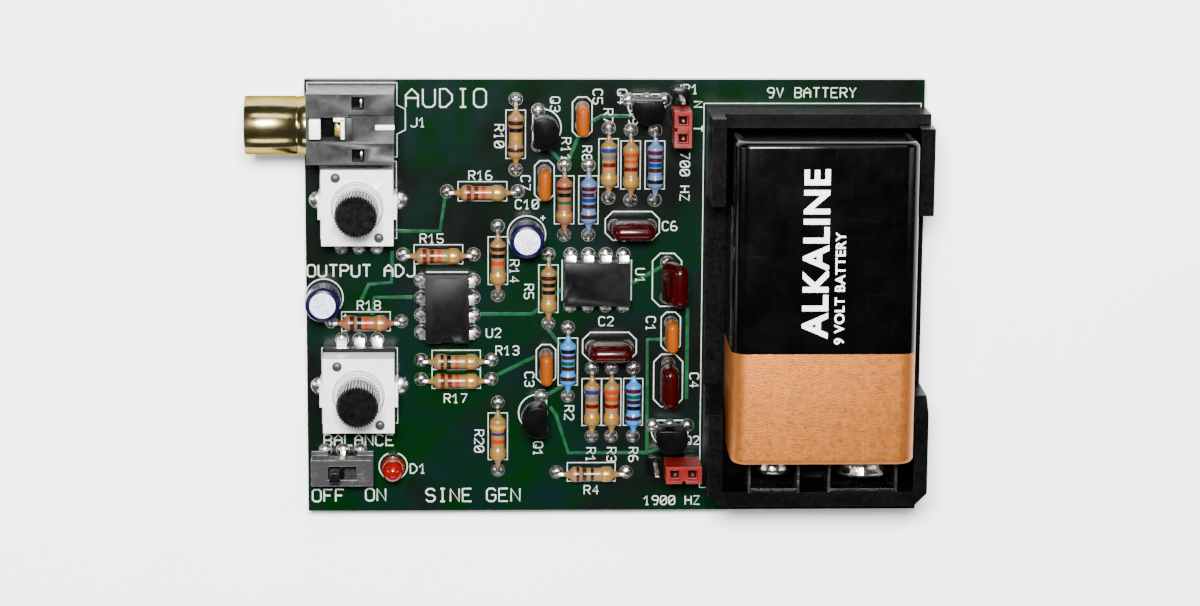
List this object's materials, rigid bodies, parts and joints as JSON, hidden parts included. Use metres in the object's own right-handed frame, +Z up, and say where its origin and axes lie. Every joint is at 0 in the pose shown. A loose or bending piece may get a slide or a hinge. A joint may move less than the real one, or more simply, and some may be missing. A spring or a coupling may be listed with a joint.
{
  "type": "audio function generator board",
  "caption": "Small open-board audio test oscillator with two level controls, a slide switch, two jumper selectors, a phono output jack and a 9 V battery in a holder.",
  "frame": {"origin": "centre of the whole part's box, on the surface that the feet stand on", "axes": "+X from the phono jack's side towards the battery; +Y from the switch edge towards the jack edge; +Z up from the board's component side"},
  "size_m": [0.097, 0.0636, 0.0228],
  "materials": {
    "board": "glossy dark green solder mask over glass-fibre board, with white legends",
    "solder": "bright tin solder",
    "foot_rubber": "matte black rubber",
    "resistor_tan": "tan lacquer with colour bands, tinned leads",
    "resistor_blue": "bright blue lacquer with colour bands, tinned leads",
    "resistor_grey": "grey-blue lacquer with colour bands, tinned leads",
    "ceramic_orange": "dipped orange resin, tinned leads",
    "film_red": "dipped dark red resin, tinned leads",
    "can_sleeve": "dark blue shrink sleeve with a pale stripe, aluminium top",
    "moulded_black": "moulded black epoxy, tinned leads",
    "led_red": "tinted red resin, tinned leads",
    "jack_black": "moulded black plastic",
    "barrel_gold": "polished gold plating",
    "insert_white": "white moulded plastic",
    "contact_brass": "bare brass spring strip",
    "tinned_steel": "bright tin plate",
    "shaft_black": "black moulded plastic",
    "switch_steel": "dull nickel plate",
    "shunt_red": "red moulded plastic",
    "holder_black": "black moulded plastic",
    "spring_metal": "nickel-plated spring strip",
    "battery_jacket": "printed metal jacket, black with a bronze end",
    "terminal_metal": "nickel-plated terminals"
  },
  "bodies": {
    "board": {"circuit_board": "board", "solder_joints": "solder", "rubber_feet": "foot_rubber", "resistor_r1": "resistor_tan", "resistor_r2": "resistor_blue", "resistor_r3": "resistor_tan", "resistor_r4": "resistor_tan", "resistor_r5": "resistor_tan", "resistor_r6": "resistor_blue", "resistor_r7": "resistor_tan", "resistor_r8": "resistor_grey", "resistor_r9": "resistor_tan", "resistor_r10": "resistor_tan", "resistor_r11": "resistor_tan", "resistor_r12": "resistor_grey", "resistor_r13": "resistor_tan", "resistor_r14": "resistor_tan", "resistor_r15": "resistor_tan", "resistor_r16": "resistor_tan", "resistor_r17": "resistor_tan", "resistor_r18": "resistor_tan", "resistor_r20": "resistor_tan", "capacitor_c1": "ceramic_orange", "capacitor_c3": "ceramic_orange", "capacitor_c5": "ceramic_orange", "capacitor_c7": "ceramic_orange", "capacitor_c2": "film_red", "capacitor_c4": "film_red", "capacitor_c6": "film_red", "capacitor_c8": "film_red", "capacitor_c9": "can_sleeve", "capacitor_c10": "can_sleeve", "transistor_q1": "moulded_black", "transistor_q2": "moulded_black", "transistor_q3": "moulded_black", "transistor_q4": "moulded_black", "chip_u1": "moulded_black", "chip_u2": "moulded_black", "indicator_led": "led_red", "jack_housing": "jack_black", "jack_barrel": "barrel_gold", "jack_insert": "insert_white", "jack_centre_contact": "contact_brass", "output_pot_base": "jack_black", "output_pot_cover": "tinned_steel", "balance_pot_base": "jack_black", "balance_pot_cover": "tinned_steel", "switch_base": "jack_black", "switch_frame": "switch_steel", "header_jp1": "jack_black", "header_jp2": "jack_black", "battery_holder": "holder_black", "holder_contacts": "spring_metal"},
    "output_shaft": {"output_pot_shaft": "shaft_black"},
    "balance_shaft": {"balance_pot_shaft": "shaft_black"},
    "slider": {"switch_slider": "shaft_black"},
    "upper_shunt": {"shunt_jp1": "shunt_red"},
    "lower_shunt": {"shunt_jp2": "shunt_red"},
    "battery": {"battery_case": "battery_jacket", "battery_terminals": "terminal_metal"}
  },
  "joints": [
    {"name": "output_turn", "type": "hinge", "parent": "board", "child": "output_shaft", "pos_m": [-0.0328, 0.01429, 0.012], "axis": [0, 0, 1], "range_deg": [-150, 150]},
    {"name": "balance_turn", "type": "hinge", "parent": "board", "child": "balance_shaft", "pos_m": [-0.0328, -0.01302, 0.012], "axis": [0, 0, 1], "range_deg": [-150, 150]},
    {"name": "switch_slide", "type": "slide", "parent": "board", "child": "slider", "axis": [1, 0, 0], "range_m": [0, 0.002]},
    {"name": "upper_shunt_lift", "type": "slide", "parent": "board", "child": "upper_shunt", "axis": [0, 0, 1], "range_m": [0, 0.008]},
    {"name": "lower_shunt_lift", "type": "slide", "parent": "board", "child": "lower_shunt", "axis": [0, 0, 1], "range_m": [0, 0.008]},
    {"name": "battery_lift", "type": "slide", "parent": "board", "child": "battery", "axis": [0, 0, 1], "range_m": [0, 0.02]}
  ]
}
